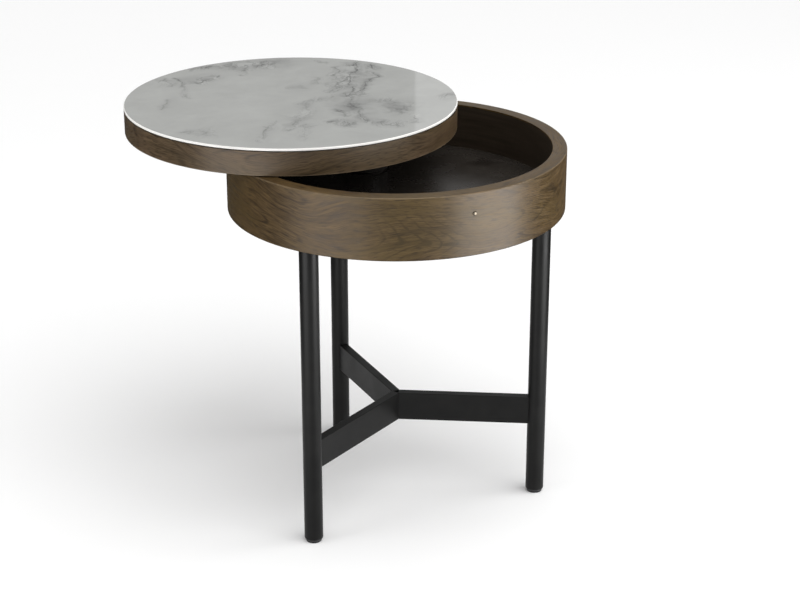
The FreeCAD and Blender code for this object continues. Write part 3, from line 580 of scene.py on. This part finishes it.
# Drum: veneered wall, lipped rim and dark lining.
drum = dict(wall=19.2 * mm, veneer=0.6 * mm, footEase=0.5 * mm, rimEase=1.5 * mm, rimInnerEase=0.5 * mm,
            segments=240)
liningInner = drumRadius - drum["wall"]
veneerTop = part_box("drum_veneer")[1].z
wallProfile = easedProfile([
    (drumRadius - drum["veneer"], drumBottom, 0),
    (drumRadius, drumBottom, drum["footEase"]),
    (drumRadius, veneerTop, 0),
    (drumRadius - drum["veneer"], veneerTop, 0),
])
layPiece("drumVeneer", "drum_veneer", "frame",
         [turnedGrid(wallProfile, drumCentre, drum["segments"])], [finish["drumWalnut"]])
rimProfile = easedProfile([
    (liningInner, veneerTop, 0),
    (drumRadius, veneerTop, 0),
    (drumRadius, rimTop, drum["rimEase"]),
    (liningInner, rimTop, drum["rimInnerEase"]),
])
layPiece("rimLipping", "rim_lipping", "frame",
         [turnedGrid(rimProfile, drumCentre, drum["segments"])], [finish["drumWalnut"]])
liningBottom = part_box("well_lining")[0].z
liningProfile = easedProfile([
    (liningInner, liningBottom, 0),
    (liningInner + drum["veneer"], liningBottom, 0),
    (liningInner + drum["veneer"], veneerTop, 0),
    (liningInner, veneerTop, 0),
])
layPiece("wellLining", "well_lining", "frame",
         [turnedGrid(liningProfile, drumCentre, drum["segments"])], [finish["stainedWalnut"]])
print("drum made")

# Lid: ceramic slab with a polished white edge, over a veneered disc.
lid = dict(veneer=0.6 * mm, footEase=0.5 * mm, topEase=0.3 * mm, arris=1.5 * mm, slabFoot=0.2 * mm,
           printOver=0.1 * mm, segments=240)
edgeProfile = easedProfile([
    (lidRadius - lid["veneer"], lidBottom, 0),
    (lidRadius, lidBottom, lid["footEase"]),
    (lidRadius, lidJoint, lid["topEase"]),
    (lidRadius - lid["veneer"], lidJoint, 0),
])
layPiece("lidEdgeVeneer", "lid_edge_veneer", "lid",
         [turnedGrid(edgeProfile, lidCentre, lid["segments"])], [finish["lidWalnut"]])
_, slabRadius, slabBottom, slabTop = roundPlace("ceramic_top")
slabProfile = easedProfile([
    (0, slabBottom, 0),
    (slabRadius, slabBottom, lid["slabFoot"]),
    (slabRadius, slabTop, lid["arris"]),
    (0, slabTop, 0),
])
onTop = slabProfile[:, 1] > slabTop - lid["printOver"]
printed = onTop[:-1] & onTop[1:]
layPiece("ceramicTop", "ceramic_top", "lid",
         [turnedGrid(slabProfile, lidCentre, lid["segments"])],
         [finish["ceramicBody"], finish["slabPrint"]], closed=False, rowFinish=printed.astype(int))
columnCentre, columnRadius, columnBottom, columnTop = roundPlace("swivel_column")
column = dict(wall=5 * mm, ease=0.3 * mm, segments=96)
columnProfile = easedProfile([
    (columnRadius - column["wall"], columnBottom, column["ease"]),
    (columnRadius, columnBottom, column["ease"]),
    (columnRadius, columnTop, 0),
    (columnRadius - column["wall"], columnTop, 0),
])
layPiece("swivelColumn", "swivel_column", "lid",
         [turnedGrid(columnProfile, columnCentre, column["segments"])], [finish["blackOxide"]])
print("lid made")

# Legs with their plastic glides and felt pads.
leg = dict(wall=2 * mm, weld=2.2 * mm, ease=0.3 * mm, segments=64)
glide = dict(stem=10 * mm, ease=0.6 * mm, footEase=0.5 * mm, padEase=0.3 * mm)
legNames = ("back", "front_left", "front_right")
for legName in legNames:
    words = legName.title().replace("_", "")
    legCentre, legRadius, legBottom, legTop = roundPlace("leg_" + legName)
    legProfile = easedProfile([
        (legRadius - leg["wall"], legBottom, 0),
        (legRadius, legBottom, leg["ease"]),
        (legRadius, legTop - leg["weld"], leg["ease"]),
        (legRadius + leg["weld"], legTop, 0),
        (legRadius - leg["wall"], legTop, 0),
    ])
    layPiece("leg" + words, "leg_" + legName, "frame",
             [turnedGrid(legProfile, legCentre, leg["segments"])], [finish["powderCoat"]])
    _, padRadius, padBottom, padTop = roundPlace("glide_pad_" + legName)
    padProfile = easedProfile([
        (0, padBottom, 0),
        (padRadius, padBottom, glide["padEase"]),
        (padRadius, padTop, 0),
        (0, padTop, 0),
    ])
    layPiece("glidePad" + words, "glide_pad_" + legName, "frame",
             [turnedGrid(padProfile, legCentre, leg["segments"])], [finish["woolFelt"]], closed=False)
    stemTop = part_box("glide_" + legName)[1].z
    glideProfile = easedProfile([
        (0, padTop, 0),
        (padRadius, padTop, glide["footEase"]),
        (legRadius, legBottom, glide["ease"]),
        (glide["stem"], legBottom, 0),
        (glide["stem"], stemTop, 0),
        (0, stemTop, 0),
    ])
    layPiece("glide" + words, "glide_" + legName, "frame",
             [turnedGrid(glideProfile, legCentre, leg["segments"])], [finish["mouldedPlastic"]], closed=False)
print("legs made")

# Stretchers: flat bars on edge, mitred to a point at the middle and coped round the legs.
bar = dict(thickness=12 * mm, ease=0.6 * mm, mitre=math.radians(30), hold=0.6 * mm)
for legName in legNames:
    low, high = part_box("stretcher_" + legName)
    legCentre, legRadius, _, _ = roundPlace("leg_" + legName)
    reach = math.hypot(*legCentre)
    side = bar["thickness"] / 2
    section = easedProfile([
        (-side, low.z, bar["ease"]),
        (side, low.z, bar["ease"]),
        (side, high.z, bar["ease"]),
        (-side, high.z, bar["ease"]),
    ])
    across, height = section[:, 0], section[:, 1]
    # a straight run from the mitre, |x| tan 30, to the cope, which is the leg's distance less the root of
    # its radius squared less x squared
    start = np.abs(across) * math.tan(bar["mitre"])
    stop = reach - np.sqrt(legRadius ** 2 - across ** 2)
    along = np.stack([start, start, start + bar["hold"], stop - bar["hold"], stop, stop])
    midHeight = np.full_like(height, (low.z + high.z) / 2)
    heights = np.stack([midHeight, height, height, height, height, midHeight])
    outward = np.array(legCentre) / reach
    acrossRows = np.broadcast_to(across, along.shape)
    barGrid = np.stack([
        outward[0] * along + outward[1] * acrossRows,
        outward[1] * along - outward[0] * acrossRows,
        heights,
    ], axis=-1)
    layPiece("stretcher" + legName.title().replace("_", ""), "stretcher_" + legName, "frame",
             [barGrid], [finish["powderCoat"]], closed=False)
print("stretchers made")

# Polished stud on the drum's front: a low dome on a short shank, turned about a level axis.
stud = dict(crown=1.6 * mm, shank=1.5 * mm, segments=48)
studLow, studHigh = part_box("front_stud")
studRadius = (studHigh.x - studLow.x) / 2
studRise = -drumRadius - studLow.y
studDepth = studHigh.y + drumRadius
studProfile = easedProfile([
    (0, -studDepth, 0),
    (stud["shank"], -studDepth, 0),
    (stud["shank"], 0, 0),
    (studRadius, 0, 0),
    (studRadius, studRise, stud["crown"]),
    (0, studRise, 0),
], steps=9, hold=0.05 * mm)
studGrid = turnedGrid(studProfile, (0, 0), stud["segments"])
studHeight = (studLow.z + studHigh.z) / 2
studPlaced = np.stack([
    studGrid[..., 0],
    -drumRadius - studGrid[..., 2],
    studHeight + studGrid[..., 1],
], axis=-1)
layPiece("frontStud", "front_stud", "frame",
         [studPlaced], [finish["polishedNickel"]], closed=False)
print("stud made")

# Pan-head screws with a cross recess, under the leg plates and under the column's flange.
screw = dict(head=4.2 * mm, headDepth=2.4 * mm, slot=0.55 * mm, arm=2.1 * mm, recess=1.3 * mm,
             crown=0.5 * mm, ease=0.6 * mm, soft=0.25 * mm, segments=48)


def screwGrid(node, x, y, shank):
    # Rows from the middle of the face out to the rim, up the side, in to the shank and up to its tip. The
    # face is a low crown with a cross sunk in it: where one way off the middle is less than the slot and
    # the other less than the arm.
    low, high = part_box(node)
    part = np.linspace(0, 1, 15)[:, None] ** 0.8
    angle = np.linspace(0, 2 * np.pi, screw["segments"], endpoint=False)
    radius = part * screw["head"] + 0 * angle
    offX, offY = np.abs(radius * np.cos(angle)), np.abs(radius * np.sin(angle))
    thinX, thinY = (np.clip((screw["slot"] - off) / screw["soft"] + 0.5, 0, 1) for off in (offX, offY))
    shortX, shortY = (np.clip((screw["arm"] - off) / screw["soft"] + 0.5, 0, 1) for off in (offX, offY))
    cross = np.maximum(thinX * shortY, thinY * shortX)
    crown = screw["crown"] * part ** 2 + screw["ease"] * np.clip((part - 0.8) / 0.2, 0, 1) ** 3
    seat = low.z + screw["headDepth"]
    rest = np.array([(screw["head"], seat), (shank, seat), (shank, high.z), (0, high.z)])
    radii = np.concatenate([radius, rest[:, :1] + 0 * angle])
    heights = np.concatenate([low.z + crown + screw["recess"] * cross, rest[:, 1:] + 0 * angle])
    return np.stack([x + radii * np.cos(angle), y + radii * np.sin(angle), heights], axis=-1)


plateScrews = dict(along=(166 * mm, 204 * mm), across=(-17.5 * mm, 17.5 * mm), shank=2.2 * mm)
plateGrids = []
for legName in legNames:
    legCentre = np.array(roundPlace("leg_" + legName)[0])
    outward = legCentre / np.linalg.norm(legCentre)
    sideways = np.array((-outward[1], outward[0]))
    plateGrids += [screwGrid("leg_plate_screws", *(along * outward + across * sideways), plateScrews["shank"])
                   for along in plateScrews["along"] for across in plateScrews["across"]]
layPiece("legPlateScrews", "leg_plate_screws", "frame",
         plateGrids, [finish["zincPlate"]], closed=False)
flangeScrews = dict(circle=46 * mm, count=6, shank=2.5 * mm)
lidTurn = math.atan2(lidCentre[1] - columnCentre[1], lidCentre[0] - columnCentre[0]) + math.pi / 2
flangeTurns = lidTurn + 2 * np.pi * np.arange(flangeScrews["count"]) / flangeScrews["count"]
flangeGrids = [screwGrid("flange_screws", columnCentre[0] + flangeScrews["circle"] * math.cos(turn),
                         columnCentre[1] + flangeScrews["circle"] * math.sin(turn), flangeScrews["shank"])
               for turn in flangeTurns]
layPiece("flangeScrews", "flange_screws", "lid",
         flangeGrids, [finish["zincPlate"]], closed=False)
print("screws made")

# CAD nodes whose shape is right keep it and take a finish.
nodeFinish = dict(
    stainedBoard=("drum_hoop", "drum_floor", "lid_core"),
    backingWalnut=("lid_backing",),
    darkLaminate=("well_floor",),
    blackOxide=("column_flange", "swivel_base", "thrust_washer"),
    powderCoat=("leg_plate_back", "leg_plate_front_left", "leg_plate_front_right"),
    turnedSteel=("spindle", "stop_washer", "stop_pin"),
    zincPlate=("base_bolts", "retaining_screw"),
    acetal=("lower_bush", "upper_bush"),
)
for look, names in nodeFinish.items():
    for name in names:
        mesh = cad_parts[name].data
        mesh.materials.clear()
        mesh.materials.append(finish[look])
print("CAD nodes finished")

# Camera at the photograph's view.
view = dict(place=(-1.0248, -2.1692, 1.2440), tilt=68.15, heading=-25.4, lens=85.27, sensor=36)
camera = bpy.data.objects.new("camera", bpy.data.cameras.new("camera"))
camera.data.lens = view["lens"]
camera.data.sensor_width = view["sensor"]
camera.location = view["place"]
camera.rotation_euler = (math.radians(view["tilt"]), 0, math.radians(view["heading"]))
scene.collection.objects.link(camera)
scene.camera = camera

# Pale floor.
floor = dict(half=9.0, tone="#fdfdfd")
corners = np.array([(-1, -1, 0), (1, -1, 0), (1, 1, 0), (-1, 1, 0)]) * floor["half"]
floorMesh = bpy.data.meshes.new("floor")
floorMesh.from_pydata(corners.tolist(), [], [(0, 1, 2, 3)])
floorMaterial, tree = newMaterial("matt_white_floor")
paint = addNode(tree, "ShaderNodeBsdfDiffuse", {}, {"Color": linear(floor["tone"])})
addNode(tree, "ShaderNodeOutputMaterial", {}, {0: paint.outputs[0]})
floorMesh.materials.append(floorMaterial)
floorPiece = bpy.data.objects.new("floor", floorMesh)
scene.collection.objects.link(floorPiece)

# Studio light: a sky that dims towards the horizon, a wide soft sun from above, a key lamp from the right
# that reaches into the well, a weak fill from the left, a weak low lamp from the right side, and standing
# cards that only show as reflections. Lamps and cards are told by their turn from the camera's line, seen
# from above, their distance from the drum's axis, their height and the height they face on that axis,
# width and length, and brightness, where 1 is white. Grey flags stand at the sides and behind, clear of
# the floor, to keep glare off the edges of the drum and the lid.
studio = dict(
    sky=((0.0, "#747474"), (1.0, "#dedede")),  # horizon, zenith
    sun=dict(strength=1.43, spread=60, tilt=30, turn=35),
    lamps=dict(
        key=(75, 2.4, 1.4, 1.4, 2.2, 1.1, 2.2),
        fill=(-65, 2.4, 1.3, 0.5, 1.2, 0.8, 3.4),
        side=(100, 2.2, 0.65, 0.45, 1.0, 0.8, 5.0),
    ),
    cards=dict(
        right=(56.5, 0.9, 0.335, 0.335, 0.7, 0.65, 10.0),
        left=(-38.5, 0.9, 0.31, 0.31, 0.7, 0.6, 4.2),
        behind=(162.8, 2.6, 1.45, 1.45, 1.5, 1.1, 0.38),
        above=(10, 0.9, 1.65, 0.5, 2.6, 0.5, 4.5),
    ),
    flags=dict(turns=((78, 148), (204, 297)), distance=0.55, bottom=0.08, top=0.5, edges=17, tone="#545454"),
)
world = bpy.data.worlds.new("sky")
world.use_nodes = True
skyTree = world.node_tree
upward = addNode(skyTree, "ShaderNodeSeparateXYZ", {}, {
    0: addNode(skyTree, "ShaderNodeTexCoord").outputs["Generated"]}).outputs[2]
skyTone = addNode(skyTree, "ShaderNodeValToRGB", {}, {0: upward}, studio["sky"]).outputs[0]
skyTree.links.new(skyTone, skyTree.nodes["Background"].inputs["Color"])
scene.world = world
toCamera = math.atan2(view["place"][1], view["place"][0])
sunLamp = bpy.data.lights.new("sun", "SUN")
sunLamp.energy = studio["sun"]["strength"]
sunLamp.angle = math.radians(studio["sun"]["spread"])
sun = bpy.data.objects.new("sun", sunLamp)
sunTurn = toCamera + math.radians(studio["sun"]["turn"])
sunTilt = math.radians(studio["sun"]["tilt"])
sunFrom = Vector((
    math.cos(sunTurn) * math.sin(sunTilt),
    math.sin(sunTurn) * math.sin(sunTilt),
    math.cos(sunTilt),
))
sun.rotation_euler = (-sunFrom).to_track_quat("-Z", "Y").to_euler()
scene.collection.objects.link(sun)
panels = {**studio["lamps"], **studio["cards"]}
for name, (turn, distance, height, aim, width, length, brightness) in panels.items():
    lamp = bpy.data.lights.new(name, "AREA")
    lamp.shape = "RECTANGLE"
    lamp.size = width
    lamp.size_y = length
    lamp.energy = brightness * math.pi * width * length
    panel = bpy.data.objects.new(name, lamp)
    angle = toCamera + math.radians(turn)
    panel.location = (distance * math.cos(angle), distance * math.sin(angle), height)
    panel.rotation_euler = (Vector((0, 0, aim)) - panel.location).to_track_quat("-Z", "Y").to_euler()
    panel.visible_camera = False
    panel.visible_diffuse = name in studio["lamps"]
    panel.visible_glossy = name in studio["cards"]
    scene.collection.objects.link(panel)
# the flags: two curved upright sheets of dark grey cloth, only seen in reflections
flags = studio["flags"]
clothPoints, clothFaces = [], []
for turns in flags["turns"]:
    sweep = toCamera + np.radians(np.linspace(*turns, flags["edges"]))
    ring = [flags["distance"] * np.cos(sweep), flags["distance"] * np.sin(sweep)]
    at = 2 * len(sweep) * len(clothFaces) + np.arange(len(sweep) - 1)
    clothPoints += [np.stack([*ring, 0 * sweep + flags[edge]], axis=-1) for edge in ("bottom", "top")]
    clothFaces.append(np.stack([at, at + 1, at + 1 + len(sweep), at + len(sweep)], axis=-1))
clothMesh = bpy.data.meshes.new("flags")
clothMesh.from_pydata(np.concatenate(clothPoints).tolist(), [], np.concatenate(clothFaces).tolist())
clothMaterial, tree = newMaterial("grey_duvetyn_flags")
cloth = addNode(tree, "ShaderNodeBsdfDiffuse", {}, {"Color": linear(flags["tone"])})
addNode(tree, "ShaderNodeOutputMaterial", {}, {0: cloth.outputs[0]})
clothMesh.materials.append(clothMaterial)
clothPiece = bpy.data.objects.new("flags", clothMesh)
for ray in ("camera", "diffuse", "transmission", "volume_scatter", "shadow"):
    setattr(clothPiece, "visible_" + ray, False)
scene.collection.objects.link(clothPiece)
scene.view_settings.view_transform = "Standard"
print("camera and light set")
